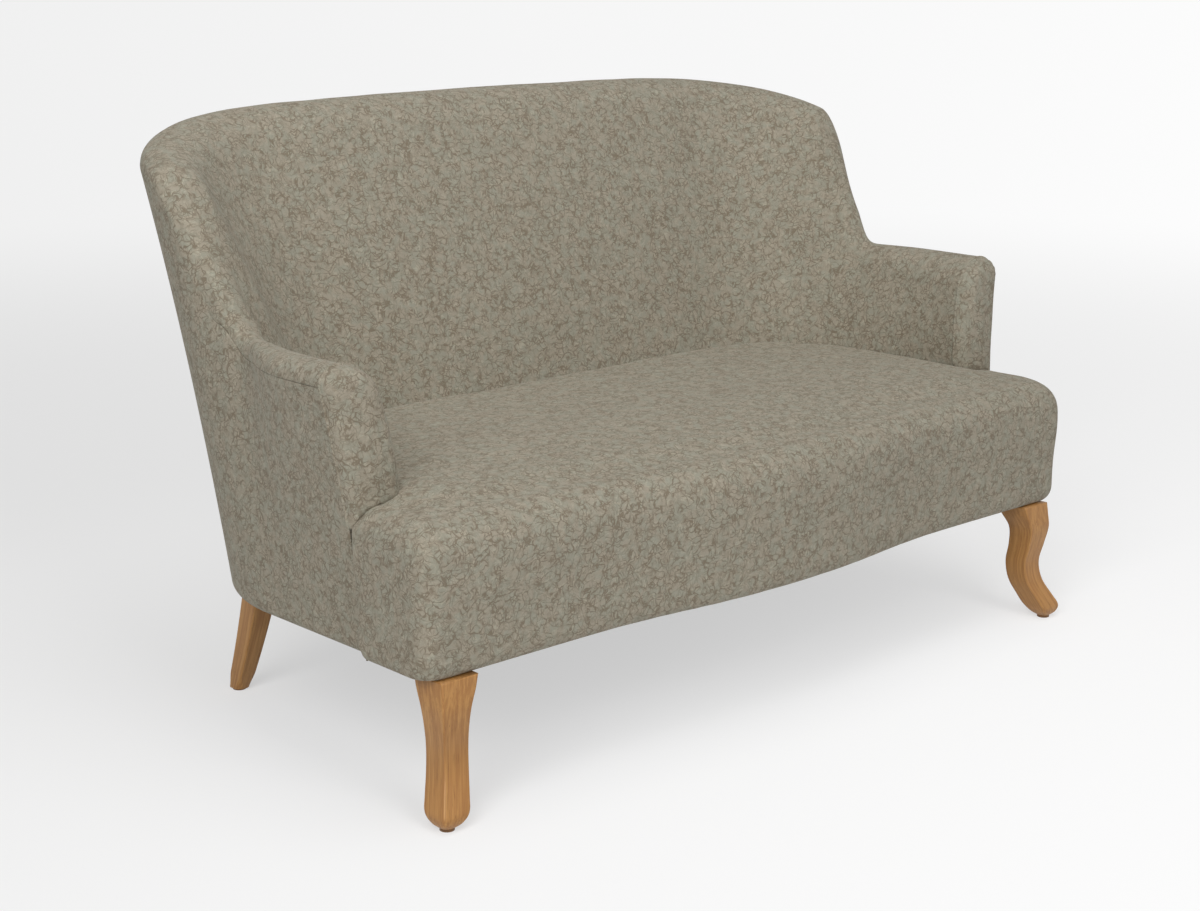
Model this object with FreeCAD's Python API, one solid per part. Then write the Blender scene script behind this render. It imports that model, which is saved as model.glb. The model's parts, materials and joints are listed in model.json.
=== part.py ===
# Two-seat settee with a tight-upholstered serpentine seat, tub back, low arms and cabriole front legs.
# Millimetres. +X is to the right seen from the front, +Y to the back, +Z up.
# The origin is on the floor at the middle of the object's length and depth.
import FreeCAD
import Part
import math
import os

V = FreeCAD.Vector
os.makedirs("parts", exist_ok=True)

# Overall upholstery
depth = 789.0
base_height = 197.0
back_height = 868.0
shoulder_height = 806.0
arm_height = 584.0
arm_setback_at_base = 178.0
arm_setback_at_top = 241.0
back_rake = 82.0

# Outer plan of the arms and back, at the base and at the top of the back
base_front_half_width = 650.0
base_half_width = 652.0
base_corner_length = 357.0
base_corner_depth = 290.0
top_front_half_width = 719.0
top_half_width = 734.0
top_corner_length = 308.0
top_corner_depth = 275.0
base_edge_radius = 14.0

# Section of the arm and of the back, measured inward from the outer face
arm_ridge_inset = 34.0
arm_roll_width = 53.0
arm_roll_height = 51.0
back_ridge_inset = 43.0
back_roll_width = 55.0
back_roll_height = 58.0
arm_front_lean = 0.0
arm_lean = 0.20
back_lean = 0.224
arm_seam_drop = 26.5
back_seam_drop = 32.0
wing_seam_drop = 40.0
wing_roll_extra = 49.0
neck_inset = 43.0
arm_waist = 6.0
back_waist = 9.0
inner_belly = 7.0

# Seat block
seat_height = 402.0
seat_crown = 20.0
seat_bow = 28.0
seat_half_width = 664.3
seat_bow_share = 0.307
seat_hollow_share = 0.6
seat_front_lean = 7.0
seat_roll_radius = 55.0
seat_side_roll = 44.0
seat_roll_power = 2.4
seat_corner_radius = 29.0
seat_corner_growth = 0.43
seat_edge_radius = 13.0
tuck_depth = 18.0
seat_clearance = 1.2

# Materials and clearances
cover = 2.0
gap = 0.3
dust_cover_thickness = 1.5
timber = 32.0
rail_height = 90.0
top_rail_height = 52.0
wing_rail_relief = 4.0
rail_chamfer = 8.0
lip = 18.0
board = 3.0
facing_bulge = 20.0
facing_edge_width = 28.0
facing_foot = 335.0
welt_diameter = 4.4
webbing_width = 50.0
webbing_thickness = 1.6

# Springs
spring_wire = 3.6
spring_width = 46.0
spring_pitch = 25.0
spring_spacing = 132.0
spring_count = 7
clip_length = 22.0
clip_width = 12.0
clip_wall = 1.0
felt_thickness = 3.0
felt_margin = 20.0

# Legs and their fastenings
front_leg_from_side = 57.3
front_leg_from_front = 63.0
front_leg_top = 62.0
front_knee = 46.5
front_ankle = 40.0
front_foot = 42.0
front_foot_step_x = 29.0
front_foot_step_y = -33.5
rear_leg_from_side = 118.0
rear_leg_from_rear = 116.5
rear_leg_top = 40.0
rear_leg_foot_x = 25.0
rear_leg_foot_y = 28.0
rear_foot_step_x = 15.0
rear_foot_step_y = 56.0
leg_edge = 2.5
glide_diameter = 20.0
glide_thickness = 3.0
glide_pin_diameter = 3.0
glide_pin_length = 12.0
bolt_diameter = 8.0
bolt_in_leg = 34.0
front_block_length = 84.0
front_block_depth = 68.0
rear_block_size = 70.0
nut_flange_diameter = 16.0
nut_flange_thickness = 1.5
nut_barrel_diameter = 11.0
nut_barrel_length = 10.0

# Worked out from the sizes above
front_y = -depth / 2
back_y = depth / 2
base_rear_y = back_y - back_rake
seat_bow_half_length = seat_bow_share * seat_half_width
seat_hollow_end = seat_hollow_share * seat_half_width
front_leg_x = seat_half_width - front_leg_from_side
front_leg_y = front_y + front_leg_from_front
rear_leg_x = base_half_width - rear_leg_from_side
rear_leg_y = base_rear_y - rear_leg_from_rear
frame_bottom = base_height + dust_cover_thickness + gap
rail_top = frame_bottom + rail_height
frame_inset = cover + gap + board
timber_face = frame_inset + 1.0
frame_face = timber_face + timber
spring_z = rail_top + clip_wall + gap + spring_wire / 2
felt_z = spring_z + spring_wire / 2 + 1.5 * gap
foam_z = felt_z + felt_thickness + gap
cover_end_z = seat_height - tuck_depth
lip_inset = cover + gap + lip
facing_back = welt_diameter + 2 * gap
tack_top = cover_end_z - 4.0
tack_overlap = 40.0
tack_height = 46.0
dowel_diameter = 10.0
dowel_length = 50.0
dowel_spacing = 44.0

# Stations along the outer plan where a piece is drawn; see plan_point
ARM = [0.0, 0.19, 0.38, 0.54, 0.66, 0.75, 0.81, 0.87]
WING = [0.87, 0.91, 0.95, 0.99, 1.025, 1.06, 1.095, 1.13, 1.17, 1.22, 1.29, 1.38, 1.5]
CORNER = [1.5, 1.62, 1.74, 1.86, 1.95, 2.0]
BACK = [2.0, 2.06, 2.16, 2.4, 2.7, 3.0]
ARM_POST_END = ARM[1]
WING_POST_START = 0.83
WING_POST_END = WING[1]
BACK_POST_START = 1.4
CENTRE_POST_HALF = 0.06
SHOULDER_START = 1.2
WING_RISE = (0.76, 1.22)
WING_RISE_POWER = 2.03
WING_CENTRE, WING_SPREAD = 1.052, 0.055
NECK_CENTRE, NECK_SPREAD = 0.906, 0.329


def mix(a, b, t):
    return a + (b - a) * t


def smooth(a, b, x):
    t = min(max((x - a) / (b - a), 0.0), 1.0)
    return t * t * (3 - 2 * t)


def bump(x, centre, spread):
    return math.exp(-((x - centre) / spread) ** 2)


# Outer plan of the arms and back: station 0 is the arm front, 1 the start of the corner,
# 2 its end and 3 the middle of the back.
def plan_point(s, front_half, half, setback, length, corner, rear_y):
    start_y = rear_y - corner
    if s <= 1:
        return mix(front_half, half, s), mix(front_y + setback, start_y, s)
    if s <= 2:
        turn = (s - 1) * math.pi / 2
        return half - length + length * math.cos(turn), start_y + corner * math.sin(turn)
    return (half - length) * (3 - s), rear_y


def place(s, side, u, z):
    # Point at inset u from the outer face and height z; side is 1 for the right and -1 for the left
    low = plan_point(s, base_front_half_width, base_half_width, arm_setback_at_base,
                     base_corner_length, base_corner_depth, base_rear_y)
    high = plan_point(s, top_front_half_width, top_half_width, arm_setback_at_top,
                      top_corner_length, top_corner_depth, back_y)
    k = (z - base_height) / (back_height - base_height)
    turn = min(max(s - 1, 0.0), 1.0) * math.pi / 2
    x = mix(low[0], high[0], k) - u * math.cos(turn)
    y = mix(low[1], high[1], k) - u * math.sin(turn)
    return V(side * x, y, z)


def ridge_height(s):
    along = max((s - SHOULDER_START) / (3 - SHOULDER_START), -0.05)
    crest = back_height - (back_height - shoulder_height) * (1 - along) ** 4
    return mix(arm_height, crest, smooth(*WING_RISE, s) ** WING_RISE_POWER)


class Section:
    # Numbers of the upholstered section at one station.
    def __init__(self, s):
        back = smooth(0.8, 1.7, s)
        neck = neck_inset * bump(s, NECK_CENTRE, NECK_SPREAD)
        wing = bump(s, WING_CENTRE, WING_SPREAD)
        self.ridge_z = ridge_height(s)
        self.seam_u = neck
        self.seam_z = self.ridge_z - mix(arm_seam_drop, back_seam_drop, back) - wing_seam_drop * wing
        self.ridge_u = mix(arm_ridge_inset, back_ridge_inset, back) + 0.55 * neck
        self.roll_width = mix(arm_roll_width, back_roll_width, back) - 0.35 * neck
        self.roll_height = mix(arm_roll_height, back_roll_height, back) + wing_roll_extra * wing
        self.waist = mix(arm_waist, back_waist, back)
        self.lean = mix(mix(arm_front_lean, arm_lean, smooth(0, 1, s)), back_lean, back)
        self.end_angle = math.atan(self.roll_height / self.roll_width * self.lean)

    def outer_roll(self, inset, share):
        # From the seam (share 0) up to the ridge (share 1)
        a = math.pi - share * math.pi / 2
        width = self.ridge_u - self.seam_u - inset
        height = self.ridge_z - self.seam_z - inset
        return self.ridge_u + width * math.cos(a), self.seam_z + height * math.sin(a)

    def inner_roll(self, inset, share):
        # From the ridge (share 0) down to the inner face (share 1)
        a = mix(math.pi / 2, self.end_angle, share)
        return (self.ridge_u + (self.roll_width - inset) * math.cos(a),
                self.ridge_z - self.roll_height + (self.roll_height - inset) * math.sin(a))

    def inner_face(self, inset, z):
        u, top = self.inner_roll(inset, 1)
        share = min(max((top - z) / (top - cover_end_z), 0.0), 1.0)
        belly = 4 * inner_belly * share * (1 - share)
        return u + (top - z) * self.lean + belly, z

    def outer_face(self, inset, z):
        share = min(max((z - base_height) / (self.seam_z - base_height), 0.0), 1.0)
        hollow = 4 * self.waist * share * (1 - share)
        return self.seam_u * share ** 2 + hollow + inset, z


def arc3(curve, a, b):
    return [curve(a), curve((a + b) / 2), curve(b)]


def roll_segments(c, inset, end_z):
    # Seam, over the ridge, down the inner face to end_z: five arcs
    def face(share):
        top = c.inner_roll(inset, 1)[1]
        return c.inner_face(inset, mix(top, end_z, share))
    outer = lambda share: c.outer_roll(inset, share)
    inner = lambda share: c.inner_roll(inset, share)
    return [arc3(outer, 0, 0.5), arc3(outer, 0.5, 1), arc3(inner, 0, 0.5), arc3(inner, 0.5, 1),
            arc3(face, 0, 1)]


def reverse(segments):
    return [seg[::-1] for seg in segments[::-1]]


def closed(segments):
    # Adds the straight pieces that join one segment's end to the next one's start.
    out = []
    for i, seg in enumerate(segments):
        out.append(seg)
        end, start = seg[-1], segments[(i + 1) % len(segments)][0]
        if math.dist(end, start) > 1e-6:
            out.append([end, start])
    return out


def wire(segments, at):
    edges = []
    for seg in segments:
        p = [at(q) for q in seg]
        flat = len(p) == 2 or (p[1] - p[0]).cross(p[2] - p[0]).Length < 1e-6 * (p[2] - p[0]).Length ** 2
        edges.append(Part.makeLine(p[0], p[-1]) if flat else Part.Arc(*p).toShape())
    return Part.Wire(edges)


def loft(wires, ruled=False):
    return Part.makeLoft(wires, True, ruled, False, 2)


def band(path, section):
    # Solid through the sections given by section(station) along path, a list of (station, side)
    wires = []
    for s, side in path:
        wires.append(wire(closed(section(s)), lambda q, s=s, side=side: place(s, side, *q)))
    return loft(wires)


def stations(*groups):
    out = []
    for group in groups:
        out += [s for s in group if not out or s > out[-1]]
    return out


def one_side(group, side):
    return [(s, side) for s in group]


def both_sides(group):
    return [(s, 1) for s in group] + [(s, -1) for s in group[-2::-1]]


BACK_PATH = stations(WING, CORNER, BACK)
BASE_CORNER_PATH = stations([1.0, 1.08, 1.19], WING[7:], CORNER)


def inside_cover_section(s):
    c = Section(s)
    return roll_segments(c, 0, cover_end_z) + reverse(roll_segments(c, cover, cover_end_z))


def outside_cover_section(s):
    c = Section(s)
    r = base_edge_radius
    top = c.seam_z - gap

    def skin(inset):
        face = lambda share: c.outer_face(inset, mix(base_height + r, top, share))
        foot = face(0)
        h = r - inset
        hem = lambda a: (foot[0] + h - h * math.cos(a), base_height + r - h * math.sin(a))
        return [[hem(math.pi / 2), hem(math.pi / 4), foot], arc3(face, 0, 1)]
    return skin(0) + reverse(skin(cover))


def face_arc(c, inset, low, high):
    # Upright line at a fixed inset from the outer face
    return arc3(lambda share: c.outer_face(inset, mix(low, high, share)), 0, 1)


def foam_section(s, lining):
    # Padding over the top rail and down the inner side of the frame
    c = Section(s)
    inset = cover + 2 * gap
    rail = c.seam_z - gap
    back = face_arc(c, frame_face + lining + 3 * gap, cover_end_z, rail)
    return roll_segments(c, inset, cover_end_z) + [back, [back[-1], (c.outer_roll(inset, 0)[0], rail)]]


def board_section(s):
    # Stiff backing behind an outside cover
    c = Section(s)
    low = base_height + base_edge_radius
    high = c.seam_z - 4.0
    return [face_arc(c, cover + gap, low, high)] + reverse([face_arc(c, frame_inset, low, high)])


def strip(u0, u1, low, high):
    # Upright strip between two insets, from height low(c) to high(c)
    def section(s):
        c = Section(s)
        return [face_arc(c, u0, low(c), high(c)), face_arc(c, u1, high(c), low(c))]
    return section


def rail_hi(c):
    return c.seam_z - 3.0


def rail_lo(c):
    return rail_hi(c) - top_rail_height


def level(z):
    return lambda c: z


def base_rail(s):
    # Rail under the arms and back, chamfered where the hem of the cover turns under
    c = Section(s)
    low = frame_bottom + rail_chamfer
    foot = c.outer_face(timber_face, low)[0]
    head = c.outer_face(timber_face, rail_top)[0]
    return [[(foot + rail_chamfer, frame_bottom), (foot, low)], [(head, rail_top), (head + timber, rail_top)],
            [(head + timber, rail_top), (foot + timber, frame_bottom)]]


top_rail = strip(timber_face, frame_face, rail_lo, rail_hi)
tack_rail = strip(timber_face, frame_face, level(tack_top - tack_height), level(tack_top))
post = strip(timber_face, frame_face, level(rail_top), rail_lo)
webbing = strip(frame_face + gap, frame_face + gap + webbing_thickness, level(tack_top - tack_overlap),
                lambda c: rail_hi(c) - 4.0)
lining = strip(frame_face + gap, frame_face + gap + board, level(tack_top - tack_overlap),
               lambda c: rail_hi(c) - 4.0)


# Seat plan: serpentine front, rounded corners, straight sides
def front_line(x, inset=0.0, rise=0.0):
    # Front edge of the seat at x; rise is 0 at the base and 1 at the start of the roll.
    # The serpentine narrows as the outline is drawn in.
    front = front_y + seat_bow + seat_front_lean * (1 - rise) + inset
    share = seat_bow_half_length / seat_hollow_end
    a = abs(x) / (1 - inset / seat_half_width)
    if a <= seat_bow_half_length:
        return front - seat_bow * (1 - share * (a / seat_bow_half_length) ** 2)
    if a < seat_hollow_end:
        t = (seat_hollow_end - a) / (seat_hollow_end - seat_bow_half_length)
        return front - seat_bow * (1 - share) * t * t
    return front


def seat_front(inset, side_inset, rise):
    # Segments of the front from the left side round to the right side, and the half width
    half = seat_half_width - side_inset
    r = seat_corner_radius + seat_corner_growth * side_inset
    k = 1 - inset / seat_half_width
    end, mid, flat = k * seat_hollow_end, k * seat_bow_half_length, half - r
    front = front_line(flat, inset, rise)

    def front_arc(a, b):
        return [(x, front_line(x, inset, rise)) for x in (a, (a + b) / 2, b)]

    def corner(side):
        turns = (0, math.pi / 4, math.pi / 2)
        pts = [(side * (flat + r * math.sin(a)), front + r - r * math.cos(a)) for a in turns]
        return pts if side > 0 else pts[::-1]
    return [corner(-1), [(-flat, front), (-end, front)], front_arc(-end, -mid), front_arc(-mid, mid),
            front_arc(mid, end), [(end, front), (flat, front)], corner(1)], half


def seat_outline(inset, side_inset, z, rear):
    wall_top = seat_height - seat_roll_radius
    rise = min(max((z - base_height) / (wall_top - base_height), 0.0), 1.0)
    segments, half = seat_front(inset, side_inset, rise)
    return wire(closed(segments + [[(half, rear), (-half, rear)]]), lambda q: V(q[0], q[1], z))


def seat_block(inset, rear, drop=0.0):
    # Seat form drawn in by inset on every visible face; drop lengthens it below the base
    r, side, e = seat_roll_radius, seat_side_roll, seat_edge_radius
    wall_top = seat_height - r
    walls = [(e + inset, base_height - drop)] if drop else []
    walls += [(e + inset, base_height), (0.3 * e + inset, base_height + 0.3 * e),
              (inset, base_height + e), (inset, mix(base_height, wall_top, 0.55)), (inset, wall_top)]
    levels = [(u, u, z) for u, z in walls]
    for angle in (15, 32, 50, 70, 90):
        out = max(math.cos(math.radians(angle)), 0.0) ** (2 / seat_roll_power)
        up = math.sin(math.radians(angle)) ** (2 / seat_roll_power)
        levels.append((r - (r - inset) * out, side - (side - inset) * out, wall_top + (r - inset) * up))
    for reach, share in ((35, 0.42), (80, 0.72), (140, 0.94), (185, 1.0)):
        levels.append((r + reach, side + reach, seat_height - inset + seat_crown * share))
    return loft([seat_outline(u, v, z, rear) for u, v, z in levels])


def facing_y(z, forward):
    # The plane of the arm fronts leans back; forward is the distance in front of it
    return place(0.0, 1, 0.0, z).y - forward


def mirrored(groups):
    # Plan segments of the right side, then their mirror image back to the start
    return groups + [[(-x, y) for x, y in seg[::-1]] for seg in groups[::-1]]


def arm_space(clearance):
    # Space of the arms and back, which the seat stops against
    far = 2 * top_half_width
    path = stations(ARM, WING, CORNER)

    def ring(z, face_z):
        def inner(s):
            u = Section(s).inner_face(-clearance, face_z)[0]
            p = place(s, 1, u, z)
            return (p.x, p.y)
        groups = [[inner(a), inner((a + b) / 2), inner(b)] for a, b in zip(path, path[1:])]
        sides = mirrored(groups)
        x0, y0 = groups[0][0]
        front = y0 - arm_setback_at_base / 3
        outside = [[(-x0, front), (-far, front)], [(-far, far), (far, far)], [(far, front), (x0, front)]]
        return wire(closed(sides + outside), lambda q: V(q[0], q[1], z))
    low, top = base_height - tuck_depth, seat_height + seat_crown + tuck_depth
    form = loft([ring(low, cover_end_z), ring(cover_end_z, cover_end_z), ring(top, top)], True)
    corners = [(-2 * far, facing_y(low, facing_back), low), (-2 * far, 2 * far, low), (-2 * far, 2 * far, top),
               (-2 * far, facing_y(top, facing_back), top)]
    outline = Part.makePolygon([V(*p) for p in corners + corners[:1]])
    return form.common(Part.Face(outline).extrude(V(4 * far, 0, 0)))


def prism(inset, z0, z1, rear):
    return Part.Face(seat_outline(inset, inset, z0, rear)).extrude(V(0, 0, z1 - z0))


def box(x0, x1, y0, y1, z0, z1):
    return Part.makeBox(x1 - x0, y1 - y0, z1 - z0, V(x0, y0, z0))


def cylinder(diameter, length, at, axis=V(0, 0, 1)):
    return Part.makeCylinder(diameter / 2, length, at, axis)


def mirror(shape):
    return shape.mirror(V(0, 0, 0), V(1, 0, 0))


def save(name, shape):
    solids = shape.Solids
    out = solids[0] if len(solids) == 1 else Part.makeCompound(solids)
    print(name, len(solids), round(out.Volume / 1000.0, 1), "" if out.isValid() else "not valid")
    out.exportStep("parts/%s.step" % name)


def save_pair(name, right):
    save(name + "_right", right)
    save(name + "_left", mirror(right))


def save_both(name, right):
    # The right and left pieces share one node
    save(name, Part.makeCompound(right.Solids + mirror(right).Solids))


# Covers of the arms and back, and the boards behind the outside ones
def make_covers():
    save("inside_back_cover", band(both_sides(BACK_PATH), inside_cover_section))
    save_pair("inside_arm_cover", band(one_side(ARM, 1), inside_cover_section))
    arm_side = stations(ARM, WING)
    back_side = both_sides(stations(CORNER, BACK))
    save_pair("outside_arm_cover", band(one_side(arm_side, 1), outside_cover_section))
    save("outside_back_cover", band(back_side, outside_cover_section))
    save_pair("outside_arm_board", band(one_side(arm_side, 1), board_section))
    save("outside_back_board", band(back_side, board_section))


# Padding of the arms and back
def make_padding():
    save("back_foam", band(both_sides(BACK_PATH), lambda s: foam_section(s, webbing_thickness)))
    save_pair("arm_foam", band(one_side(ARM, 1), lambda s: foam_section(s, board)))
    save_pair("arm_lining", band(one_side(ARM, 1), lining))


# Facing at the front of each arm: board, pad, cover and welt
def facing_outline(c, edge, low):
    return [face_arc(c, edge, low, c.seam_z)] + roll_segments(c, edge, low)


def facing_wire(edge, forward):
    c = Section(0.0)
    return wire(closed(facing_outline(c, edge, facing_foot + edge)),
                lambda q: place(0.0, 1, *q) - V(0, forward, 0))


def facing_form(edge, back, bulge):
    # Domed form: the outline draws in as the face comes forward
    rings = [facing_wire(edge, back)]
    for share in (0.12, 0.3, 0.6, 1.0):
        rise = math.sqrt(1 - (1 - share) ** 2)
        rings.append(facing_wire(mix(edge, facing_edge_width, share), back + bulge * rise))
    return loft(rings)


def welt_path(t):
    # Point on the outline of the arm front: t runs 0-1 up the side, 1-2 over the top, 2-3 down inside
    c = Section(0.0)
    edge = welt_diameter / 2 - 1.2
    foot = base_height - welt_diameter / 2
    if t <= 1:
        z = mix(foot, c.seam_z, t)
        q = (c.outer_face(edge, z)[0], z)
    elif t <= 1.5:
        q = c.outer_roll(edge, (t - 1) * 2)
    elif t <= 2:
        q = c.inner_roll(edge, (t - 1.5) * 2)
    else:
        z = mix(c.inner_roll(edge, 1)[1], seat_height + 8.0, t - 2)
        q = c.inner_face(edge, z)
    return place(0.0, 1, *q) - V(0, facing_back / 2, 0)


def make_facings(seat_form):
    rings = []
    for t in (0, 0.25, 0.5, 0.75, 1, 1.125, 1.25, 1.375, 1.5, 1.625, 1.75, 1.875, 2, 2.5, 3):
        axis = (welt_path(min(t + 0.02, 3)) - welt_path(max(t - 0.02, 0))).normalize()
        rings.append(Part.Wire(Part.makeCircle(welt_diameter / 2 - gap / 2, welt_path(t), axis)))
    save_pair("facing_welt", loft(rings))

    c = Section(0.0)
    outline = closed(facing_outline(c, welt_diameter + 1.5, rail_top + gap))
    face = wire(outline, lambda q: place(0.0, 1, *q) - V(0, gap, 0))
    save_pair("facing_board", Part.Face(face).extrude(V(0, gap - welt_diameter, 0)))

    shell = facing_form(0.5, facing_back, facing_bulge)
    shell = shell.cut(facing_form(0.5 + cover, facing_back - 1.0, facing_bulge - cover + 1.0))
    pad = facing_form(0.5 + cover + 2 * gap, facing_back, facing_bulge - cover - 2 * gap)
    save_pair("facing_pad", pad.cut(seat_form))
    save_pair("facing_cover", shell.cut(seat_form))


# Timber frame, joined with dowels
def dowel_seats():
    # Centre and axis of each dowel on the right half
    half = dowel_length / 2
    mid_z = (frame_bottom + rail_top) / 2
    seats = []
    for z in (mid_z - dowel_spacing / 2, mid_z + dowel_spacing / 2):
        y = front_line(block_start_x, lip_inset) + timber / 2 + 3.0
        seats.append((V(block_start_x, y, z), V(1, 0, 0)))
        x = side_rail_x() - timber / 2
        seats.append((V(x, block_back_y, z), V(0, 1, 0)))
        seats.append((V(x, place(1.0, 1, 0.0, z).y, z), V(0, 1, 0)))
        seats.append((place(2.0, 1, timber_face + timber / 2, z), V(1, 0, 0)))
    return [(centre - axis * half, axis) for centre, axis in seats]


block_start_x = front_leg_x - front_block_length / 2
block_back_y = front_leg_y + front_block_depth / 2


def side_rail_x():
    # Outer face of the straight side rail
    return place(1.0, 1, timber_face, frame_bottom).x


def make_frame():
    seats = dowel_seats()
    dowels = [cylinder(dowel_diameter, dowel_length, at, axis) for at, axis in seats]
    save_both("frame_dowels", Part.makeCompound(dowels))
    holes = Part.makeCompound([cylinder(dowel_diameter + gap, dowel_length + 2 * gap, at - axis * gap, axis)
                               for at, axis in seats])
    all_holes = Part.makeCompound([holes, mirror(holes)])
    bore = nut_barrel_diameter + gap
    bores = Part.makeCompound([cylinder(bore, rail_height + 10, V(x, y, frame_bottom - 5))
                               for x, y in LEG_CENTRES if x > 0])

    inside = prism(lip_inset, frame_bottom, rail_top, back_y)
    front_rail = inside.cut(prism(lip_inset + timber, frame_bottom, rail_top, back_y + 10.0))
    front_rail = front_rail.common(box(-block_start_x, block_start_x, front_y, 0, frame_bottom, rail_top))
    save("seat_rail_front", front_rail.cut(all_holes))

    x = side_rail_x()
    chamfer_z = frame_bottom + rail_chamfer
    profile = [[(x - rail_chamfer, frame_bottom), (x, chamfer_z)], [(x, rail_top), (x - timber, rail_top)],
               [(x - timber, rail_top), (x - timber, frame_bottom)]]
    front_end = wire(closed(profile), lambda q: V(q[0], block_back_y, q[1]))
    rear_end = wire(closed(profile), lambda q: V(q[0], place(1.0, 1, 0.0, q[1]).y, q[1]))
    save_pair("seat_rail_side", loft([front_end, rear_end], True).cut(holes))
    save_pair("seat_rail_corner", band(one_side(BASE_CORNER_PATH, 1), base_rail).cut(holes).cut(bores))
    save("seat_rail_back", band(both_sides([2.0, 3.0]), base_rail).cut(all_holes))

    # Leg blocks in the corners, bored for the leg bolts
    front_block = box(block_start_x, x, front_y, block_back_y, frame_bottom, rail_top)
    save_both("leg_blocks_front", front_block.common(inside).cut(holes).cut(bores))
    half = rear_block_size / 2
    rear_block = box(rear_leg_x - half, rear_leg_x + half, rear_leg_y - half, rear_leg_y + half,
                     frame_bottom, rail_top)
    rail_side = strip(-80.0, frame_face + gap, level(base_height - 20.0), level(rail_top + 20.0))
    rear_block = rear_block.cut(band(one_side(BASE_CORNER_PATH, 1), rail_side))
    save_both("leg_blocks_rear", rear_block.cut(bores))

    # Centre brace between the front and back rails, below the springs
    brace_front = front_line(timber / 2, lip_inset + timber)
    brace_back = place(3.0, 1, frame_face, frame_bottom).y
    save("seat_centre_brace", box(-timber / 2, timber / 2, brace_front, brace_back,
                                  frame_bottom, frame_bottom + 0.6 * rail_height))

    # Posts at the arm fronts, at the wings and in the back
    arm_post = strip(timber_face, frame_face, level(rail_top), lambda c: rail_hi(c) - 14.0)
    save_pair("arm_post", band(one_side([0.0, ARM_POST_END], 1), arm_post))
    save_both("wing_posts", band(one_side([WING_POST_START, ARM[-1], WING_POST_END], 1), post))
    save_pair("back_post", band(one_side([BACK_POST_START, WING[-1]], 1), post))
    centre = [(3.0 - CENTRE_POST_HALF, 1), (3.0, 1), (3.0 - CENTRE_POST_HALF, -1)]
    upright = strip(timber_face, frame_face, level(tack_top), rail_lo)
    save("back_centre_upright", band(centre, upright))

    # Rails along the seam line, and tack rails at seat level
    save_pair("arm_rail", band(one_side(ARM[1:], 1), top_rail))
    save_pair("arm_tack_rail", band(one_side(ARM[1:-1] + [WING_POST_START], 1), tack_rail))
    wing_rail = strip(timber_face, frame_face - wing_rail_relief, rail_lo, rail_hi)
    save_both("wing_rails", band(one_side(WING[:-1], 1), wing_rail))
    save("back_top_rail", band(both_sides(stations(WING[-2:], CORNER, BACK)), top_rail))
    save("back_tack_rail", band(both_sides(stations(CORNER, BACK)), tack_rail))


def station_at(x, u, z):
    # Station between 1 and 3 where the line at inset u has this x
    low, high = 1.0, 3.0
    for step in range(30):
        mid = (low + high) / 2
        if place(mid, 1, u, z).x > x:
            low = mid
        else:
            high = mid
    return low


# Springs, felt and webbing
def make_suspension():
    springs, clips = [], []
    rail_middle = timber_face + timber / 2
    for i in range(spring_count):
        x = (i - (spring_count - 1) / 2) * spring_spacing
        y0 = front_line(x, lip_inset + timber / 2)
        y1 = place(station_at(abs(x), rail_middle, rail_top), 1, rail_middle, rail_top).y
        runs = round((y1 - y0) / spring_pitch)
        pitch = (y1 - y0) / runs
        r = pitch / 2
        half = spring_width / 2 - r
        edges = []
        for n in range(runs + 1):
            y = y0 + n * pitch
            a, b = (-half, half) if n % 2 == 0 else (half, -half)
            tip = b + math.copysign(r, b)
            edges.append(Part.makeLine(V(x + a, y, spring_z), V(x + b, y, spring_z)))
            if n < runs:
                bend = [V(x + b, y, spring_z), V(x + tip, y + r, spring_z), V(x + b, y + pitch, spring_z)]
                edges.append(Part.Arc(*bend).toShape())
        ring = Part.Wire(Part.makeCircle(spring_wire / 2, V(x - half, y0, spring_z), V(1, 0, 0)))
        springs.append(Part.Wire(edges).makePipeShell([ring], True, False))
        for y, back in ((y0, 1), (y1, -1)):
            clips.append(spring_clip(x, y, back))
    save("seat_springs", Part.makeCompound(springs))
    save("spring_clips", Part.makeCompound(clips))

    def edge(t):
        u = Section(t).inner_face(0, cover_end_z)[0] if t < 1 else frame_face
        p = place(t, 1, u + felt_margin, felt_z)
        return (p.x, p.y)
    start = 0.1
    groups = [[edge(a), edge(b)] for a, b in zip([start, 0.5, 0.9, 1.15, 1.4, 1.6, 1.8],
                                                 [0.5, 0.9, 1.15, 1.4, 1.6, 1.8, 2.0])]
    front = front_line(seat_hollow_end, lip_inset + 8.0)
    corner = (edge(start)[0], front)
    outline = mirrored([[corner, edge(start)]] + groups)
    felt = Part.Face(wire(closed(outline), lambda q: V(q[0], q[1], felt_z)))
    save("spring_felt", felt.extrude(V(0, 0, felt_thickness)))

    straps = []
    half = webbing_width / 2 / (base_half_width - base_corner_length)
    for s in (1.64, 1.88, 2.16, 2.46, 2.74):
        straps.append(band([(s - half, 1), (s, 1), (s + half, 1)], webbing))
        straps.append(mirror(straps[-1]))
    straps.append(band([(3.0 - half, 1), (3.0, 1), (3.0 - half, -1)], webbing))
    save("back_webbing", Part.makeCompound(straps))


def spring_clip(x, y, back):
    # Steel clip on the rail, folded over the end run of a spring
    top = spring_z + spring_wire / 2 + gap / 2
    half = clip_length / 2
    body = box(x - half, x + half, y - clip_width / 2, y + clip_width / 2, rail_top, top + clip_wall / 4)
    slot = cylinder(spring_wire + gap, clip_length + 2, V(x - half - 1, y, spring_z), V(1, 0, 0))
    mouth = box(x - half - 1, x + half + 1, min(y, y + back * clip_width), max(y, y + back * clip_width),
                spring_z - spring_wire / 2 - gap / 2, top)
    return body.cut(slot).cut(mouth)


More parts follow.
